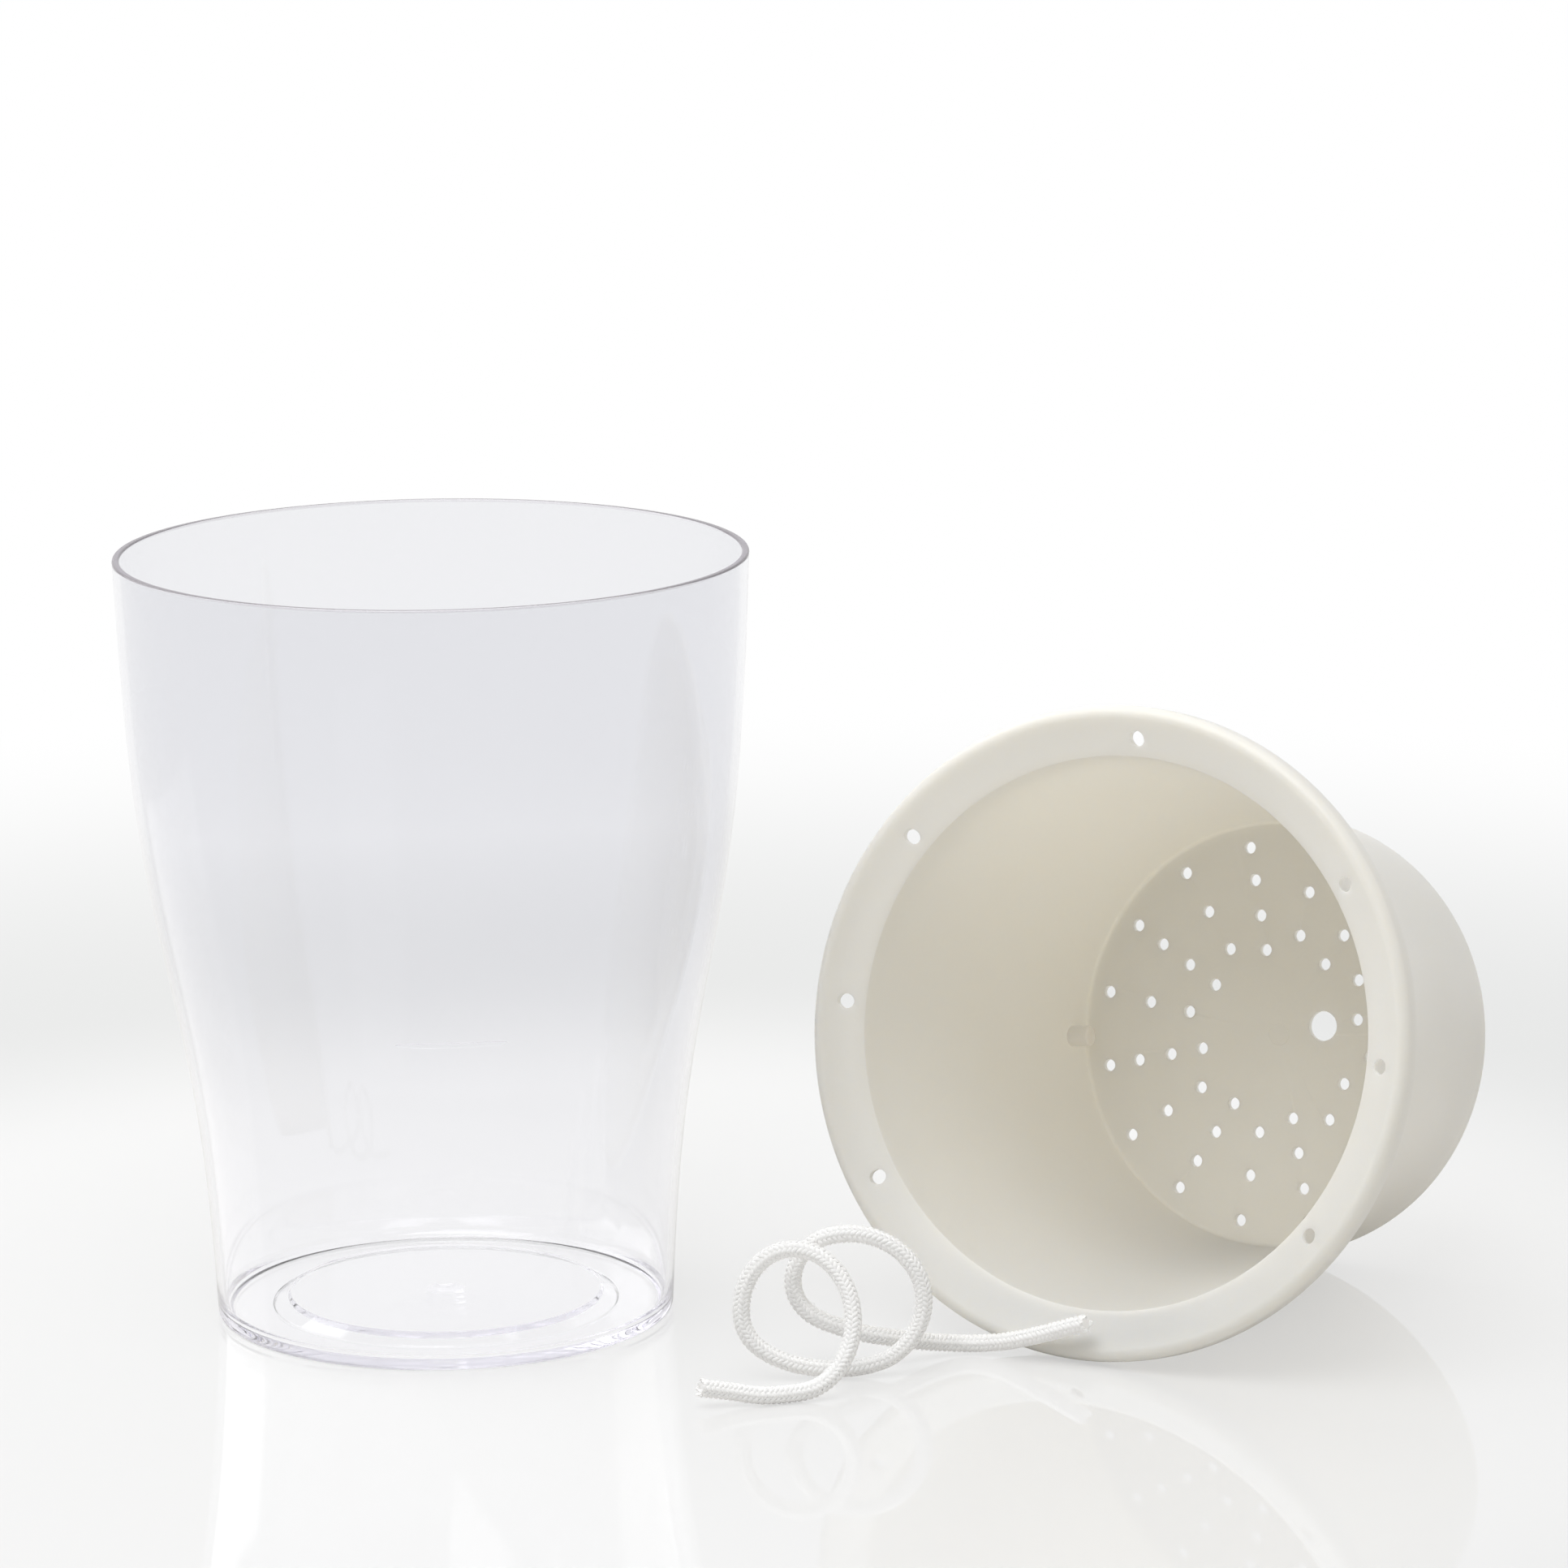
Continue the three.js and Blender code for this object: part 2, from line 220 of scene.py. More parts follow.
class Shade:
    """One output of a node in a finish. Arithmetic on it adds Math nodes, node() adds any other."""

    def __init__(self, tree, socket=None):
        self.tree = tree
        self.socket = socket

    def node(self, kind, settings=None, sockets=None, output=None):
        """Adds a node, with its settings first and then the values or links of its sockets."""
        new = self.tree.nodes.new(kind)
        for name, value in (settings or {}).items():
            setattr(new, name, value)
        for name, value in (sockets or {}).items():
            socket = next(entry for entry in new.inputs if name in (entry.identifier, entry.name))
            if isinstance(value, Shade):
                self.tree.links.new(value.socket, socket)
            else:
                socket.default_value = value
        if not new.outputs:
            return None
        chosen = [entry for entry in new.outputs if output in (None, entry.identifier, entry.name)]
        return Shade(self.tree, chosen[0])

    def maths(self, operation, first, second):
        """Adds a Math node on two values."""
        return self.node("ShaderNodeMath", {"operation": operation}, {"Value": first, "Value_001": second})

    def __add__(self, other):
        return self.maths("ADD", self, other)

    def __radd__(self, other):
        return self.maths("ADD", other, self)

    def __sub__(self, other):
        return self.maths("SUBTRACT", self, other)

    def __rsub__(self, other):
        return self.maths("SUBTRACT", other, self)

    def __mul__(self, other):
        return self.maths("MULTIPLY", self, other)

    def __rmul__(self, other):
        return self.maths("MULTIPLY", other, self)

    def __abs__(self):
        return self.maths("ABSOLUTE", self, 0.0)

    def ramp(self, low, high, to_low, to_high):
        """Smooth change from one value to another while this one goes from low to high."""
        return self.node("ShaderNodeMapRange", {"interpolation_type": "SMOOTHSTEP"}, {
            "Value": self, "From Min": low, "From Max": high, "To Min": to_low, "To Max": to_high,
        })

    def tint(self, low, high):
        """Colour between two others, by this share."""
        low, high = (colour if isinstance(colour, Shade) else (*colour, 1) for colour in (low, high))
        return self.node("ShaderNodeMix", {"data_type": "RGBA"}, {
            "Factor_Float": self, "A_Color": low, "B_Color": high,
        }, "Result_Color")

    def noise(self, scale, detail):
        """Noise over these coordinates."""
        return self.node("ShaderNodeTexNoise", None, {
            "Vector": self, "Scale": scale, "Detail": detail,
        }, "Fac")


def new_finish(name):
    """An empty material and the start of its nodes."""
    finish = bpy.data.materials.new(name)
    finish.use_nodes = True
    finish.node_tree.nodes.clear()
    return finish, Shade(finish.node_tree)


CLEAR_LOW_TINT = (0.982, 0.982, 0.99)
CLEAR_RIM_TINT = (0.875, 0.878, 0.897)
CLEAR_TINT_RISE = (0.02, 0.13)
CLEAR_DEPTH_TINT = (0.86, 0.85, 0.9)
CLEAR_DENSITY = 14.0
CLEAR_ROUGHNESS = (0.0, 0.03)
CLEAR_IOR = 1.49
NOISE_SPAN = (0.3, 0.7)
FLOW_SCALE = 55.0
FLOW_DRIFT = 10 * MM
FLOW_BUMP = 0.06
FLOW_RELIEF = 0.2 * MM
POLISH_SCALE = 420.0
FROST_COLOUR = (0.745, 0.70, 0.755)
FROST_DEPTH = (0.7 * MM, 0.25 * MM)
FROST_SHARE = 0.3
clear_plastic, clear = new_finish("clear_plastic")
clear_place = clear.node("ShaderNodeTexCoord", output="Object")
flow = clear_place.noise(FLOW_SCALE, 2.0)
polish = clear_place.noise(POLISH_SCALE, 3.0)
clear_height = clear.node("ShaderNodeSeparateXYZ", None, {"Vector": clear_place}, "Z")
clear_share = (clear_height + FLOW_DRIFT * (flow - 0.5)).ramp(*CLEAR_TINT_RISE, 0.0, 1.0)
clear_skin = clear.node("ShaderNodeBsdfPrincipled", None, {
    "Base Color": clear_share.tint(CLEAR_LOW_TINT, CLEAR_RIM_TINT),
    "Roughness": polish.ramp(*NOISE_SPAN, *CLEAR_ROUGHNESS),
    "IOR": CLEAR_IOR,
    "Transmission Weight": 1.0,
    "Normal": clear.node("ShaderNodeBump", None, {
        "Strength": FLOW_BUMP, "Distance": FLOW_RELIEF, "Height": flow,
    }),
})
clear_body = clear.node("ShaderNodeVolumeAbsorption", None, {
    "Color": (*CLEAR_DEPTH_TINT, 1), "Density": CLEAR_DENSITY,
})
frost = clear.node("ShaderNodeBsdfDiffuse", None, {"Color": (*FROST_COLOUR, 1)})
frost_start, frost_full = (POT_HEIGHT - depth for depth in FROST_DEPTH)
clear_look = clear.node("ShaderNodeMixShader", None, {
    "Fac": clear_height.ramp(frost_start, frost_full, 0.0, FROST_SHARE),
    "Shader": clear_skin, "Shader_001": frost,
})
clear.node("ShaderNodeOutputMaterial", None, {"Surface": clear_look, "Volume": clear_body})

pot_mesh = turned("pot_shell", pot_outline, pot_angles, fill_bar)
pot_mesh.transform(Matrix.Translation((pot_axis.x, pot_axis.y, 0)))
outer_pot = piece("pot_shell", pot_mesh, clear_plastic, crease=40)
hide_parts("outer_pot")
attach(outer_pot, "pot")

# Liner: the insert that holds the soil, moulded in ivory plastic that lets a little light through. Its
# dished flange hooks over the pot's rim and carries vents, and its base is full of drain holes round
# one larger hole for the wick. Here it lies on its side, on its skirt and on the edge of its base.
liner_low, liner_high = (Vector(corner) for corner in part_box("liner"))
LINER_BASE_RADIUS = 45.6 * MM
LINER_DEPTH = 87.7 * MM
LINER_WALL = 1.5 * MM
LINER_FLOOR = 1.6 * MM
LINER_CORNER = 1 * MM
LINER_INSIDE_ROUND = 0.9 * MM
SKIRT_RADIUS = (liner_high.x - liner_low.x) / 2
SKIRT_DEPTH = 4 * MM
FLANGE_WALL = 1.3 * MM
FLANGE_SLOPE = math.radians(28)
FLANGE_WIDTH = 10.2 * MM
SHOULDER_RADIUS = 3.6 * MM
EDGE_ROUND = 0.3 * MM
NECK_ROUND = 0.9 * MM
GATE_MARK_RADIUS = 2.25 * MM
GATE_MARK_RELIEF = 0.18 * MM
VENT_RADIUS = 1.55 * MM
VENT_INSET = 6.5 * MM
VENT_ANGLES = [0, 36, 90, 144, 180, 216, 270, 324]
DRAIN_RADIUS = 1.3 * MM
DRAIN_ARMS = 8
DRAIN_TURN = 16
LONG_ARM_INSETS = [5 * MM, 12.1 * MM, 19.8 * MM, 27.3 * MM]
SHORT_ARM_INSETS = [4.6 * MM, 14.5 * MM, 24 * MM]
WICK_HOLE_RADIUS = 3.2 * MM
WICK_HOLE_CIRCLE = 10.3 * MM
HOLE_BEVEL = 0.1 * MM
LINER_COLUMNS = 256
HOLE_COLUMNS = 32
SLIVER = 0.004 * MM
crest = LINER_FLOOR + LINER_DEPTH
skirt_end = crest - SKIRT_DEPTH
mouth_radius = SKIRT_RADIUS - FLANGE_WIDTH


def flange_face(radius, wall):
    """Height of the flange's dished face at a radius, or of its underside one wall below."""
    reach = SHOULDER_RADIUS - wall
    edge = SKIRT_RADIUS - SHOULDER_RADIUS - reach * math.sin(FLANGE_SLOPE)
    edge_height = crest - SHOULDER_RADIUS + reach * math.cos(FLANGE_SLOPE)
    return edge_height - (edge - radius) * math.tan(FLANGE_SLOPE)


mouth_height = flange_face(mouth_radius, 0)


def liner_radius(height):
    """Radius of the inside of the liner's wall."""
    share = (height - LINER_FLOOR) / (mouth_height - LINER_FLOOR)
    return LINER_BASE_RADIUS + (mouth_radius - LINER_BASE_RADIUS) * share


neck = flange_face(mouth_radius + LINER_WALL, FLANGE_WALL)
skirt_inside = SKIRT_RADIUS - FLANGE_WALL
liner_outline = rounded([
    (0, GATE_MARK_RELIEF, 0),
    (GATE_MARK_RADIUS, GATE_MARK_RELIEF, GATE_MARK_RELIEF),
    (GATE_MARK_RADIUS + GATE_MARK_RELIEF, 0, 0),
    (liner_radius(0) + LINER_WALL, 0, LINER_CORNER),
    (liner_radius(neck) + LINER_WALL, neck, NECK_ROUND),
    (skirt_inside, flange_face(skirt_inside, FLANGE_WALL), SHOULDER_RADIUS - FLANGE_WALL),
    (skirt_inside, skirt_end, EDGE_ROUND),
    (SKIRT_RADIUS, skirt_end, EDGE_ROUND),
    (SKIRT_RADIUS, flange_face(SKIRT_RADIUS, 0), SHOULDER_RADIUS),
    (mouth_radius, mouth_height, EDGE_ROUND),
    (LINER_BASE_RADIUS, LINER_FLOOR, LINER_INSIDE_ROUND),
    (GATE_MARK_RADIUS + GATE_MARK_RELIEF, LINER_FLOOR, 0),
    (GATE_MARK_RADIUS, LINER_FLOOR + GATE_MARK_RELIEF, GATE_MARK_RELIEF),
    (0, LINER_FLOOR + GATE_MARK_RELIEF, 0),
])


def base_pin(radius):
    """Outline of a straight pin with a small bevel where it passes each face of the base."""
    return [Vector(point) for point in [
        (0, -LINER_FLOOR), (radius + HOLE_BEVEL, -LINER_FLOOR), (radius + HOLE_BEVEL, 0),
        (radius, HOLE_BEVEL), (radius, LINER_FLOOR - HOLE_BEVEL), (radius + HOLE_BEVEL, LINER_FLOOR),
        (radius + HOLE_BEVEL, 2 * LINER_FLOOR), (0, 2 * LINER_FLOOR),
    ]]


vent_pin = [Vector(point) for point in [
    (0, skirt_end - SKIRT_DEPTH), (VENT_RADIUS, skirt_end - SKIRT_DEPTH),
    (VENT_RADIUS, crest + LINER_FLOOR), (0, crest + LINER_FLOOR),
]]
hole_pins = [(base_pin(WICK_HOLE_RADIUS), WICK_HOLE_CIRCLE, DRAIN_TURN)]
for arm in range(2 * DRAIN_ARMS):
    insets = SHORT_ARM_INSETS if arm % 2 else LONG_ARM_INSETS
    degrees = DRAIN_TURN + arm * 180 / DRAIN_ARMS
    hole_pins += [(base_pin(DRAIN_RADIUS), LINER_BASE_RADIUS - inset, degrees) for inset in insets]
hole_pins += [(vent_pin, SKIRT_RADIUS - VENT_INSET, degrees) for degrees in VENT_ANGLES]


def pin_cluster(pins):
    """One mesh of all pins, each with an outline, a circle and an angle in degrees."""
    points, faces = [], []
    for outline, circle, degrees in pins:
        pin = turned("pin", outline, full_turn(HOLE_COLUMNS))
        middle = circle * Vector((math.cos(math.radians(degrees)), math.sin(math.radians(degrees)), 0))
        faces += [[corner + len(points) for corner in face.vertices] for face in pin.polygons]
        points += [vertex.co + middle for vertex in pin.vertices]
        bpy.data.meshes.remove(pin)
    cluster = bpy.data.meshes.new("pins")
    cluster.from_pydata(points, [], faces)
    return cluster


def drilled(mesh, tool_mesh):
    """The mesh with another one cut from it, cleared of edges shorter than a sliver."""
    blank, tool = (bpy.data.objects.new(data.name, data) for data in (mesh, tool_mesh))
    for thing in (blank, tool):
        bpy.context.collection.objects.link(thing)
    cut = blank.modifiers.new("holes", "BOOLEAN")
    cut.operation = "DIFFERENCE"
    cut.solver = "EXACT"
    cut.object = tool
    done = bpy.data.meshes.new_from_object(blank.evaluated_get(bpy.context.evaluated_depsgraph_get()))
    for thing in (blank, tool):
        bpy.data.objects.remove(thing)
    skin = bmesh.new()
    skin.from_mesh(done)
    bmesh.ops.dissolve_degenerate(skin, dist=SLIVER, edges=skin.edges)
    skin.to_mesh(done)
    skin.free()
    return done


# The liner's lean on the ground, from its skirt's back edge to the edge of its base
base_edge = liner_radius(0) + LINER_WALL - LINER_CORNER
lean = min(
    math.atan2(SKIRT_RADIUS - base_edge, skirt_end),
    math.atan2(SKIRT_RADIUS - liner_radius(LINER_CORNER) - LINER_WALL, skirt_end - LINER_CORNER),
)
liner_place = Matrix((
    (1, 0, 0, (liner_low.x + liner_high.x) / 2),
    (0, math.sin(lean), -math.cos(lean), liner_high.y - base_edge * math.sin(lean)),
    (0, math.cos(lean), math.sin(lean), SKIRT_RADIUS * math.cos(lean) - skirt_end * math.sin(lean)),
    (0, 0, 0, 1),
))

IVORY = (0.848, 0.808, 0.725)
IVORY_PALE = (0.886, 0.853, 0.775)
EJECTOR_MARK = liner_place @ Vector((-5.96 * MM, -8.83 * MM, LINER_FLOOR))
EJECTOR_RADIUS = 1.4 * MM
EJECTOR_LINE = (0.05 * MM, 0.2 * MM)
WALL_LIGHT_DEPTH = 5.2 * MM
IVORY_LIGHT_SPREAD = (1.0, 0.94, 0.84)
IVORY_ROUGHNESS = (0.34, 0.44)
IVORY_IOR = 1.49
IVORY_BUMP = 0.12
IVORY_RELIEF = 0.05 * MM
CLOUD_SCALE = 35.0
GRAIN_SCALE = 2600.0


def ivory_finish(name, light_depth, painted_light=0.0):
    """Ivory plastic that light enters to about a depth, with a faint ring where an ejector met it, and any
    painted light of its own.
    """
    finish, ivory = new_finish(name)
    ivory_place = ivory.node("ShaderNodeTexCoord", output="Object")
    cloud = ivory_place.noise(CLOUD_SCALE, 3.0)
    grain = ivory_place.noise(GRAIN_SCALE, 2.0)
    mark_distance = ivory.node("ShaderNodeVectorMath", {"operation": "DISTANCE"}, {
        "Vector": ivory_place, "Vector_001": EJECTOR_MARK,
    }, "Value")
    mark_ring = abs(mark_distance - EJECTOR_RADIUS).ramp(*EJECTOR_LINE, 1.0, 0.0)
    ivory_skin = ivory.node("ShaderNodeBsdfPrincipled", None, {
        "Base Color": (0.7 * cloud + 0.3 * grain).tint(IVORY, IVORY_PALE),
        "Roughness": cloud.ramp(*NOISE_SPAN, *IVORY_ROUGHNESS),
        "IOR": IVORY_IOR,
        "Subsurface Weight": 1.0,
        "Subsurface Radius": IVORY_LIGHT_SPREAD,
        "Subsurface Scale": light_depth,
        # Painted light of the piece's own, where one is given
        "Emission Color": (*IVORY, 1),
        "Emission Strength": painted_light,
        "Normal": ivory.node("ShaderNodeBump", None, {
            "Strength": IVORY_BUMP, "Distance": IVORY_RELIEF, "Height": 0.5 * grain - mark_ring,
        }),
    })
    ivory.node("ShaderNodeOutputMaterial", None, {"Surface": ivory_skin})
    return finish


ivory_plastic = ivory_finish("ivory_plastic", WALL_LIGHT_DEPTH)
liner_blank = turned("liner_blank", liner_outline, full_turn(LINER_COLUMNS))
liner_mesh = drilled(liner_blank, pin_cluster(hole_pins))
liner_mesh.transform(liner_place)
liner = piece("liner_shell", liner_mesh, ivory_plastic, crease=32)
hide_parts("liner")
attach(liner, "liner")

# Peg: a short round stud of the same ivory plastic, moulded on the inside of the liner's wall close above
# its base. Its tip is a little rounded, and a faint painted light of its own stands in for the light that
# the wall passes into it.
PEG_RADIUS = 2.2 * MM
PEG_LENGTH = 4.5 * MM
PEG_HEIGHT = 5.5 * MM
PEG_ANGLE = math.radians(187)
PEG_ROUND = 0.5 * MM
PEG_LIGHT_DEPTH = 0.8 * MM
PEG_PAINTED_LIGHT = 0.17
peg_height = LINER_FLOOR + PEG_HEIGHT
peg_root = liner_radius(peg_height) + LINER_WALL / 2
peg_mesh = turned("liner_peg", rounded([
    (0, 0, 0),
    (PEG_RADIUS, 0, 0),
    (PEG_RADIUS, PEG_LENGTH + LINER_WALL / 2, PEG_ROUND),
    (0, PEG_LENGTH + LINER_WALL / 2, 0),
]), full_turn(HOLE_COLUMNS))
peg_mesh.transform(
    liner_place
    @ Matrix.Rotation(PEG_ANGLE, 4, "Z")
    @ Matrix.Translation((peg_root, 0, peg_height))
    @ Matrix.Rotation(-math.pi / 2, 4, "Y")
)
peg_plastic = ivory_finish("ivory_peg", PEG_LIGHT_DEPTH, PEG_PAINTED_LIGHT)
peg = piece("liner_peg", peg_mesh, peg_plastic, crease=32)
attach(peg, "liner")

# Wick: a soft cotton cord, braided from sixteen yarns that pass over two and under two round a loose
# core. It was cut to length with no knot at either end, and lies in front in two standing loops.
CORD_RADIUS = 1.85 * MM
CORD_PITCH = 8.4 * MM
YARNS_EACH_WAY = 8
YARN_WIDTH = 0.84 * MM
YARN_THICKNESS = 0.54 * MM
YARN_WAVE = 0.33 * MM
YARN_SIDES = 6
YARN_PHASE = {1: -0.5, -1: 2.5}
CORE_RADIUS = 1.1 * MM
CORE_SIDES = 12
CORE_STRIDE = 3
CORD_STEP = 0.29 * MM
END_SPREAD = 0.22
END_REACH = 2.2 * MM
END_TRIM = 4
FIBRES = 1300
FIBRE_RADIUS = 0.017 * MM
FIBRE_LENGTH = (0.5 * MM, 1.5 * MM)
FIBRE_RISE = (0.08 * MM, 0.38 * MM)
FIBRE_BEND = (1.3, 2.4)
FIBRE_STEPS = 3
FIBRE_SIDES = 3
WICK_SEED = 11
GROUND_GAP = 0.1 * MM
# The route, in millimetres from the foot of the pot's axis, with its first axis along the heading
CURL_HEADING = math.radians(28.9)
CURL_CENTRES = [73.2, 84.6]
CURL_HALF_WIDTHS = [11.2, 14.2]
CURL_HALF_HEIGHTS = [12.8, 13.5]
CURL_LEANS = [3.2, -1.8]
CURL_SHIFT = [0.79, 1.09]
CURL_START = -69.8
CURL_PITCH = 15.8
CURL_LOOPS = 19 / 12
LOOP_STEPS = 24
KNOT_STEPS = 24
WICK_HEAD = [
    (53.7, -73.8, 4.4), (56.7, -72.9, 3.7), (59.9, -72, 3), (63.2, -71.8, 2.4), (66.5, -71.6, 2),
]
WICK_TAIL = [
    (74.6, -47.3, 24.3), (73.2, -46.9, 21.9), (72.5, -46.7, 19.1), (72.7, -46.8, 16.2), (73.9, -47.1, 13.6),
    (75.9, -47.6, 11.6), (78.4, -47.9, 10.2), (81.1, -48.1, 9.2), (83.9, -48.1, 8.2), (89.3, -47, 6.7),
    (94.4, -44.7, 5.3), (99.2, -41.9, 3.8), (104.3, -39.4, 2.7), (107.1, -38.8, 2.4), (110, -38.9, 2.4),
    (115.4, -40.8, 3.3), (120, -43.7, 5), (124.7, -46.5, 7), (129.4, -49.2, 9.1), (131.7, -50.6, 10),
]


def curl_point(turn):
    """Point on the standing loops, after a number of turns."""
    share = eased(min(1, max(0, (turn - CURL_SHIFT[0]) / (CURL_SHIFT[1] - CURL_SHIFT[0]))))
    centre, half_width, half_height, lean_back = (
        first + (second - first) * share
        for first, second in (CURL_CENTRES, CURL_HALF_WIDTHS, CURL_HALF_HEIGHTS, CURL_LEANS)
    )
    angle = 2 * math.pi * turn
    rise = 1 - math.cos(angle)
    return (
        centre + half_width * math.sin(angle),
        CURL_START + CURL_PITCH * turn + lean_back * rise,
        (GROUND_GAP + CORD_RADIUS) / MM + half_height * rise,
    )


def smooth_line(knots, steps):
    """Points on the smooth curve through the knots, a centripetal one."""
    knots = np.array([2 * knots[0] - knots[1], *knots, 2 * knots[-1] - knots[-2]])
    shares = np.linspace(0, 1, steps, endpoint=False)[:, None]
    line = []
    for a, b, c, d in zip(knots, knots[1:], knots[2:], knots[3:]):
        before, here, after = (math.sqrt(np.linalg.norm(q - p)) for p, q in ((a, b), (b, c), (c, d)))
        leave = ((b - a) / before - (c - a) / (before + here) + (c - b) / here) * here
        reach = ((c - b) / here - (d - b) / (here + after) + (d - c) / after) * here
        line.append(
            b + leave * shares
            + (3 * (c - b) - 2 * leave - reach) * shares ** 2
            + (2 * (b - c) + leave + reach) * shares ** 3
        )
    return np.concatenate([*line, knots[-2:-1]])


curl_steps = round(CURL_LOOPS * LOOP_STEPS)
wick_knots = [*WICK_HEAD, *(curl_point(step / LOOP_STEPS) for step in range(curl_steps + 1)), *WICK_TAIL]
heading = Matrix.Rotation(CURL_HEADING, 3, "Z")
pot_foot = Vector((pot_axis.x, pot_axis.y, 0))
wick_knots = np.array([heading @ (Vector(knot) * MM) + pot_foot for knot in wick_knots])
fine_line = smooth_line(wick_knots[::-1], KNOT_STEPS)
run = np.concatenate([[0], np.cumsum(np.linalg.norm(np.diff(fine_line, axis=0), axis=1))])
wick_length = run[-1]
stations = np.linspace(0, wick_length, round(wick_length / CORD_STEP) + 1)
wick_line = np.stack([np.interp(stations, run, fine_line[:, axis]) for axis in range(3)], axis=1)


def unit(vectors):
    """The vectors at length one."""
    return vectors / np.linalg.norm(vectors, axis=-1, keepdims=True)


wick_ahead = unit(np.gradient(wick_line, axis=0))
wick_side = [unit(np.cross(wick_ahead[0], (0, 0, 1)))]
for ahead in wick_ahead[1:]:
    wick_side.append(unit(wick_side[-1] - ahead * np.dot(wick_side[-1], ahead)))
wick_side = np.array(wick_side)
wick_up = np.cross(wick_ahead, wick_side)


def strand(middle, out, half_width, half_thickness, sides):
    """Points and faces of a strand with an oval section that follows a line, flat side outwards."""
    along = unit(np.gradient(middle, axis=0))
    across = unit(np.cross(along, out))
    outwards = np.cross(across, along)
    turns = np.array(full_turn(sides))
    section = (
        half_width * np.cos(turns)[None, :, None] * across[:, None, :]
        + half_thickness * np.sin(turns)[None, :, None] * outwards[:, None, :]
    )
    points = (middle[:, None, :] + section).reshape(-1, 3)
    faces = [list(range(sides)), list(range(len(points) - 1, len(points) - sides - 1, -1))]
    for row in range(len(middle) - 1):
        for side in range(sides):
            on = (side + 1) % sides
            here, ahead = row * sides, (row + 1) * sides
            faces.append([here + side, ahead + side, ahead + on, here + on])
    return points, faces


wick_points, wick_faces = [], []


def add_strand(*strand_facts):
    """Adds one strand to the wick's points and faces."""
    points, faces = strand(*strand_facts)
    start = sum(len(group) for group in wick_points)
    wick_points.append(points)
    wick_faces.extend([corner + start for corner in face] for face in faces)


yarn_circle = CORD_RADIUS - YARN_WAVE - YARN_THICKNESS / 2
crossings = 2 * YARNS_EACH_WAY * stations / CORD_PITCH
chance = np.random.default_rng(WICK_SEED)
to_end = np.minimum(stations, wick_length - stations)
spread = 1 + END_SPREAD * np.clip(1 - to_end / END_REACH, 0, 1) ** 2
for way in (1, -1):
    for yarn in range(YARNS_EACH_WAY):
        angle = 2 * math.pi * (way * stations / CORD_PITCH + yarn / YARNS_EACH_WAY)
        phase = crossings + way * 2 * yarn + YARN_PHASE[way]
        circle = yarn_circle * spread + YARN_WAVE * np.cos(math.pi / 2 * phase)
        out = np.cos(angle)[:, None] * wick_side + np.sin(angle)[:, None] * wick_up
        first, last = chance.integers(0, END_TRIM, 2)
        kept = slice(first, len(stations) - last)
        yarn_line = wick_line + circle[:, None] * out
        add_strand(yarn_line[kept], out[kept], YARN_WIDTH / 2, YARN_THICKNESS / 2, YARN_SIDES)
core = slice(1, -1, CORE_STRIDE)
add_strand(wick_line[core], wick_up[core], CORE_RADIUS, CORE_RADIUS, CORE_SIDES)

fibre_share = np.linspace(0, 1, FIBRE_STEPS)[:, None]
for station in chance.integers(0, len(stations), FIBRES):
    around, slant = chance.uniform(0, 2 * math.pi, 2)
    out = math.cos(around) * wick_side[station] + math.sin(around) * wick_up[station]
    across = np.cross(wick_ahead[station], out)
    lie = math.cos(slant) * wick_ahead[station] + math.sin(slant) * across
    root = wick_line[station] + (CORD_RADIUS - YARN_WAVE) * out
    rise = (YARN_WAVE + chance.uniform(*FIBRE_RISE)) * np.sin(fibre_share * chance.uniform(*FIBRE_BEND))
    fibre_line = root + chance.uniform(*FIBRE_LENGTH) * fibre_share * lie + rise * out
    fibre_line[:, 2] = np.maximum(fibre_line[:, 2], FIBRE_RADIUS)
    add_strand(fibre_line, np.tile(out, (FIBRE_STEPS, 1)), FIBRE_RADIUS, FIBRE_RADIUS, FIBRE_SIDES)

wick_mesh = bpy.data.meshes.new("wick_braid")
wick_mesh.from_pydata(np.concatenate(wick_points).tolist(), [], wick_faces)

COTTON = (0.98, 0.976, 0.968)
COTTON_PALE = (0.99, 0.988, 0.982)
# Painted light, a faint light of the yarns' own that stands in for the light that passes through real yarns
COTTON_PAINTED_LIGHT = 0.06
COTTON_ROUGHNESS = (0.85, 1.0)
COTTON_SPECULAR = 0.15
COTTON_SHEEN = 0.25
COTTON_SHEEN_ROUGHNESS = 0.5
COTTON_BUMP = 0.5
COTTON_RELIEF = 0.12 * MM
FIBRE_SCALE = 5200.0
SLUB_SCALE = 260.0
cotton_braid, cotton = new_finish("cotton_braid")
cotton_place = cotton.node("ShaderNodeTexCoord", output="Object")
fibre = cotton_place.noise(FIBRE_SCALE, 3.0)
slub = cotton_place.noise(SLUB_SCALE, 2.0)
cotton_skin = cotton.node("ShaderNodeBsdfPrincipled", None, {
    "Base Color": (0.6 * fibre + 0.4 * slub).ramp(*NOISE_SPAN, 0.0, 1.0).tint(COTTON, COTTON_PALE),
    "Roughness": fibre.ramp(*NOISE_SPAN, *COTTON_ROUGHNESS),
    "Specular IOR Level": COTTON_SPECULAR,
    "Sheen Weight": COTTON_SHEEN,
    "Sheen Roughness": COTTON_SHEEN_ROUGHNESS,
    "Emission Color": (*COTTON, 1),
    "Emission Strength": COTTON_PAINTED_LIGHT,
    "Normal": cotton.node("ShaderNodeBump", None, {
        "Strength": COTTON_BUMP, "Distance": COTTON_RELIEF, "Height": fibre,
    }),
})
cotton.node("ShaderNodeOutputMaterial", None, {"Surface": cotton_skin})

wick = piece("wick_braid", wick_mesh, cotton_braid, crease=60)
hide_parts("wick")
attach(wick, "pot")
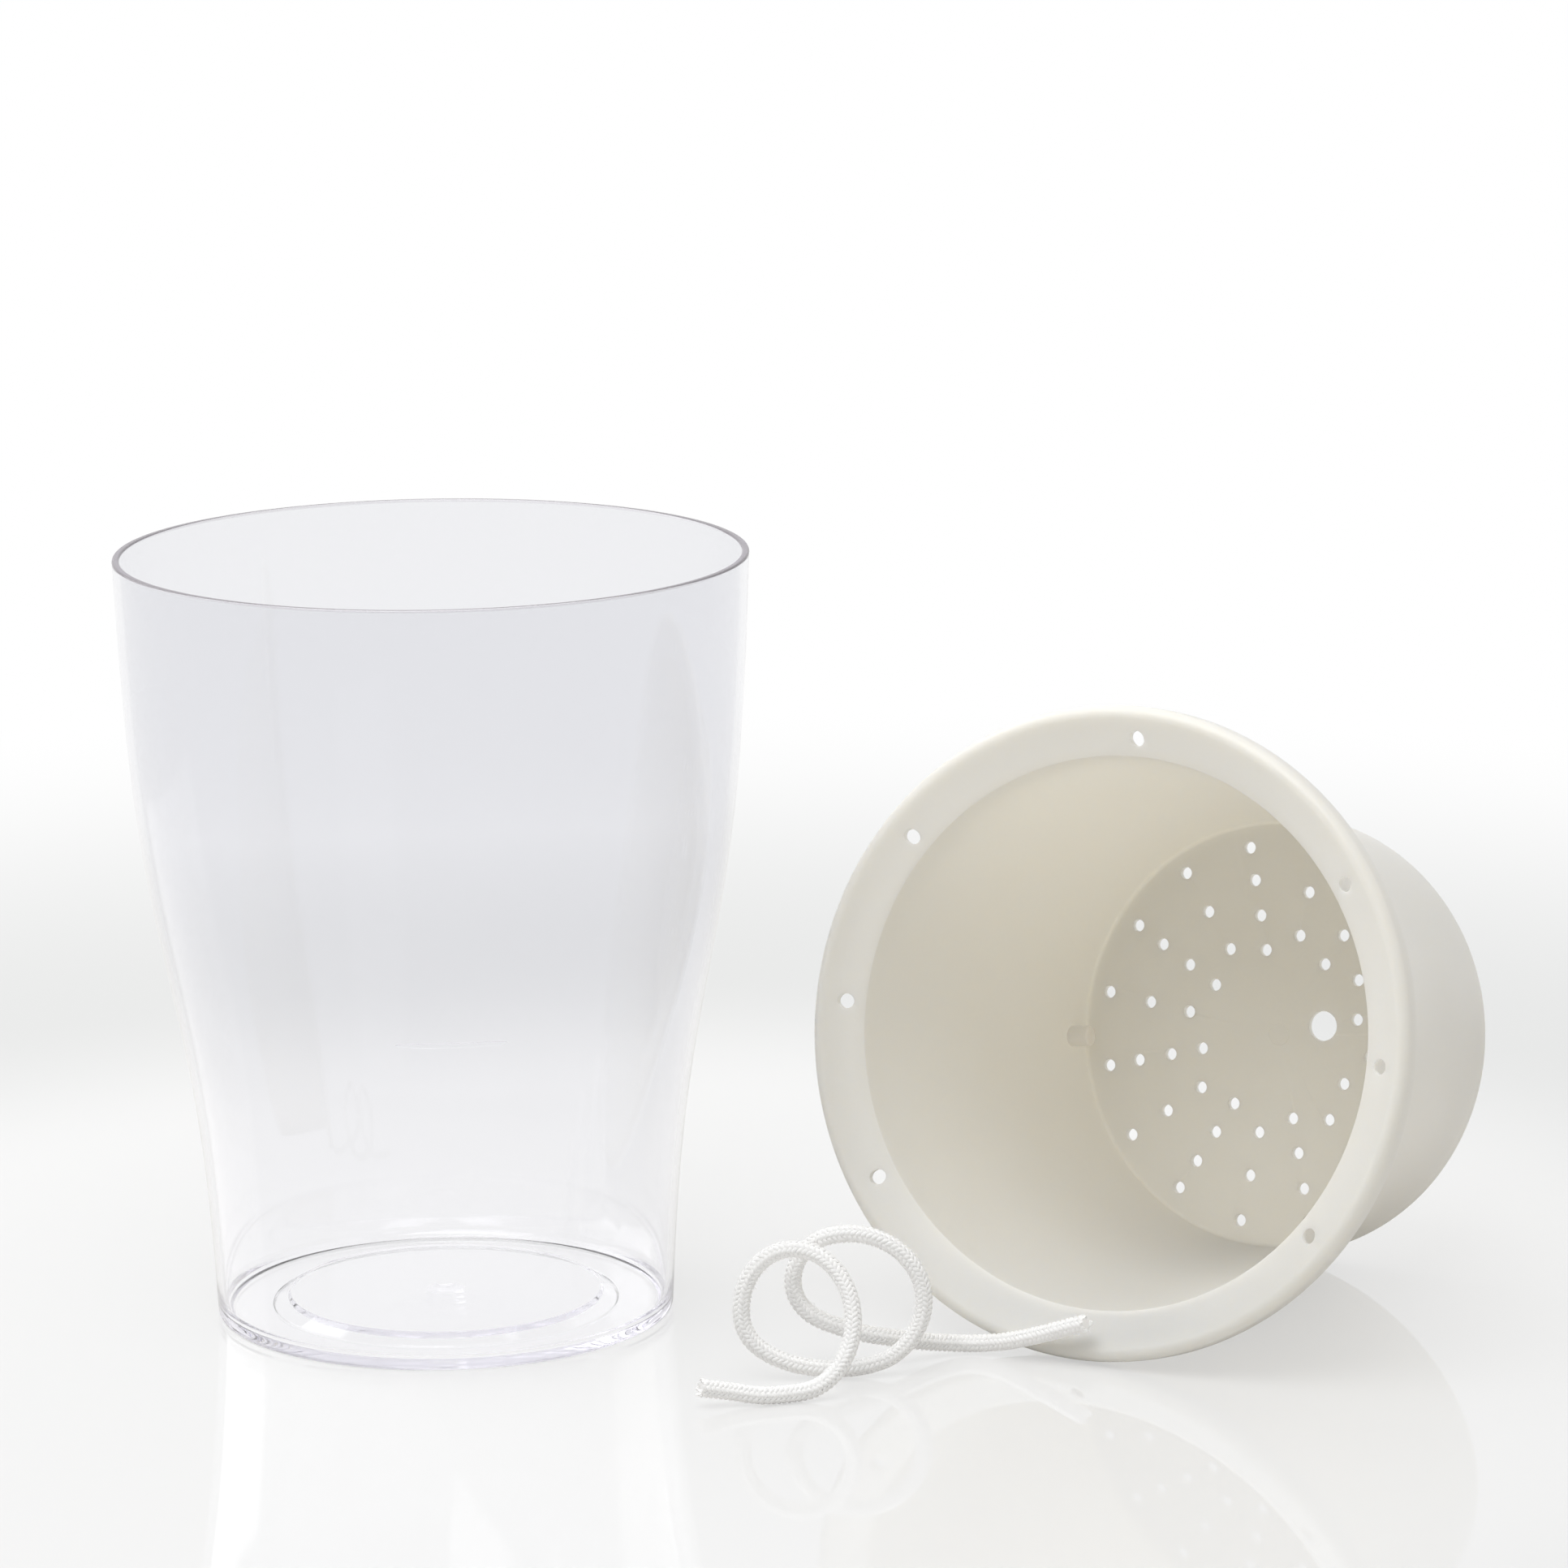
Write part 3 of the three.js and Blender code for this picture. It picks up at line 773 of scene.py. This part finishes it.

# Floor: a sheet of polished pale acrylic that the pieces stand on. To the camera, most of its brightness
# is painted light that stands in for light from below, so that shadows on it stay faint. It mirrors the
# pieces, turns a little darker behind them with painted shade, and runs out into the white backdrop.
FLOOR_HALF = 4.0
FLOOR_BOUNCE = (0.8, 0.785, 0.76)
FLOOR_SEEN = (0.26, 0.26, 0.26)
FLOOR_PAINTED_LIGHT_NEAR = (0.52, 0.52, 0.517)
FLOOR_PAINTED_LIGHT_FAR = (0.40, 0.405, 0.40)
FLOOR_MIDDLE = (-0.02, -0.035, 0.0)
FLOOR_PAINTED_SHADE = (0.19, 0.31)
FLOOR_FADE = (0.31, 0.65)
FLOOR_ROUGHNESS = 0.03
FLOOR_IOR = 1.5
FLOOR_PAINTED_GLOW_NEAR = (0.93, 0.93, 0.93)
FLOOR_PAINTED_GLOW_FAR = (0.84, 0.843, 0.846)
floor_finish, ground = new_finish("polished_floor")
floor_place = ground.node("ShaderNodeTexCoord", output="Object")
away = ground.node("ShaderNodeVectorMath", {"operation": "DISTANCE"}, {
    "Vector": floor_place, "Vector_001": FLOOR_MIDDLE,
}, "Value")
# Share of painted shade: the floor's painted light turns darker behind the pieces
dim = away.ramp(*FLOOR_PAINTED_SHADE, 0.0, 1.0)
fade = away.ramp(*FLOOR_FADE, 0.0, 1.0)
by_camera = ground.node("ShaderNodeLightPath", output="Is Camera Ray")
by_gloss = ground.node("ShaderNodeLightPath", output="Is Glossy Ray")
through_pot = ground.node("ShaderNodeLightPath", output="Is Transmission Ray")
floor_skin = ground.node("ShaderNodeBsdfPrincipled", None, {
    "Base Color": by_camera.tint(FLOOR_BOUNCE, FLOOR_SEEN),
    "Roughness": FLOOR_ROUGHNESS,
    "IOR": FLOOR_IOR,
    "Emission Color": by_camera.tint((0, 0, 0), dim.tint(FLOOR_PAINTED_LIGHT_NEAR, FLOOR_PAINTED_LIGHT_FAR)),
    "Emission Strength": 1.0,
})
# What shows through the pot is painted light as well, with the same painted shade behind the pieces
floor_painted_glow = ground.node("ShaderNodeEmission", None, {
    "Color": dim.tint(FLOOR_PAINTED_GLOW_NEAR, FLOOR_PAINTED_GLOW_FAR), "Strength": 1.0,
})
white = ground.node("ShaderNodeEmission", None, {"Color": (1, 1, 1, 1), "Strength": 1.0})
floor_near = ground.node("ShaderNodeMixShader", None, {
    "Fac": through_pot, "Shader": floor_skin, "Shader_001": floor_painted_glow,
})
floor_look = ground.node("ShaderNodeMixShader", None, {
    "Fac": fade * (by_camera + by_gloss + through_pot), "Shader": floor_near, "Shader_001": white,
})
ground.node("ShaderNodeOutputMaterial", None, {"Surface": floor_look})
floor_mesh = bpy.data.meshes.new("floor")
floor_corners = [(x * FLOOR_HALF, y * FLOOR_HALF, 0) for x, y in ((-1, -1), (1, -1), (1, 1), (-1, 1))]
floor_mesh.from_pydata(floor_corners, [], [(0, 1, 2, 3)])
floor = piece("floor", floor_mesh, floor_finish, crease=30)

# Camera: a long lens a little above the pieces, turned so that it looks past the pot's right side into
# the liner's mouth.
# The image's side, the focal length and the middle of the lens, in pixels
IMAGE_SIZE = 1932
CAMERA_FOCAL = 8107.5
CAMERA_MIDDLE = (941.0, 1052.1)
CAMERA_PLACE = (630.45 * MM, -1161.05 * MM, 396.88 * MM)
CAMERA_HEADING = CURL_HEADING
CAMERA_DOWN = math.radians(12.8)
CAMERA_ROLL = math.radians(0.52)
CAMERA_NEAR = 0.05
CAMERA_FAR = 50.0
SENSOR = 36.0
camera_data = bpy.data.cameras.new("camera")
camera_data.sensor_width = SENSOR
camera_data.lens = SENSOR * CAMERA_FOCAL / IMAGE_SIZE
camera_data.shift_x = (IMAGE_SIZE / 2 - CAMERA_MIDDLE[0]) / IMAGE_SIZE
camera_data.shift_y = (CAMERA_MIDDLE[1] - IMAGE_SIZE / 2) / IMAGE_SIZE
camera_data.clip_start = CAMERA_NEAR
camera_data.clip_end = CAMERA_FAR
camera = bpy.data.objects.new("camera", camera_data)
bpy.context.collection.objects.link(camera)
camera.matrix_world = (
    Matrix.Translation(CAMERA_PLACE)
    @ Matrix.Rotation(CAMERA_HEADING, 4, "Z")
    @ Matrix.Rotation(math.pi / 2 - CAMERA_DOWN, 4, "X")
    @ Matrix.Rotation(-CAMERA_ROLL, 4, "Z")
)
bpy.context.scene.camera = camera

# Light: a white tent behind and above the pieces, dim on the camera's side, with one wide soft lamp
# overhead and one at the left.
TENT_BACK = 0.75
TENT_FRONT = 0.28
TENT_BLEND = (-0.5, 0.5)
TENT_MIDDLE = (-math.sin(CAMERA_HEADING), math.cos(CAMERA_HEADING), 0.6)
LAMP_SIZE = 1.1
LAMP_AIM = (0.03, 0.0, 0.05)
LAMPS = {
    "softbox_overhead": (11.1, (0.0, -0.6, 1.26)),
    "softbox_left": (7.4, (-1.3, 0.0, 0.8)),
}
# Clear plastic needs many bounces, or its edges turn black
LIGHT_BOUNCES = 48
world = bpy.data.worlds.new("tent")
bpy.context.scene.world = world
world.use_nodes = True
world.node_tree.nodes.clear()
tent = Shade(world.node_tree)
tent_way = tent.node("ShaderNodeTexCoord", output="Generated")
tent_back = tent.node("ShaderNodeVectorMath", {"operation": "DOT_PRODUCT"}, {
    "Vector": tent_way, "Vector_001": TENT_MIDDLE,
}, "Value")
tent_by_camera = tent.node("ShaderNodeLightPath", output="Is Camera Ray")
tent_through_pot = tent.node("ShaderNodeLightPath", output="Is Transmission Ray")
tent_light = tent.node("ShaderNodeBackground", None, {
    "Color": (1, 1, 1, 1), "Strength": tent_back.ramp(*TENT_BLEND, TENT_FRONT, TENT_BACK),
})
tent_white = tent.node("ShaderNodeBackground", None, {"Color": (1, 1, 1, 1), "Strength": 1.0})
tent_look = tent.node("ShaderNodeMixShader", None, {
    "Fac": tent.maths("MAXIMUM", tent_by_camera, tent_through_pot),
    "Shader": tent_light, "Shader_001": tent_white,
})
tent.node("ShaderNodeOutputWorld", None, {"Surface": tent_look})

for lamp_name, (lamp_power, lamp_place) in LAMPS.items():
    lamp_data = bpy.data.lights.new(lamp_name, "AREA")
    lamp_data.shape = "SQUARE"
    lamp_data.size = LAMP_SIZE
    lamp_data.energy = lamp_power
    lamp = bpy.data.objects.new(lamp_name, lamp_data)
    lamp.location = lamp_place
    lamp.rotation_euler = (Vector(lamp_place) - Vector(LAMP_AIM)).to_track_quat("Z", "Y").to_euler()
    bpy.context.collection.objects.link(lamp)
bpy.context.scene.view_settings.view_transform = "Standard"
bpy.context.scene.cycles.max_bounces = LIGHT_BOUNCES
bpy.context.scene.cycles.glossy_bounces = LIGHT_BOUNCES
bpy.context.scene.cycles.transmission_bounces = LIGHT_BOUNCES
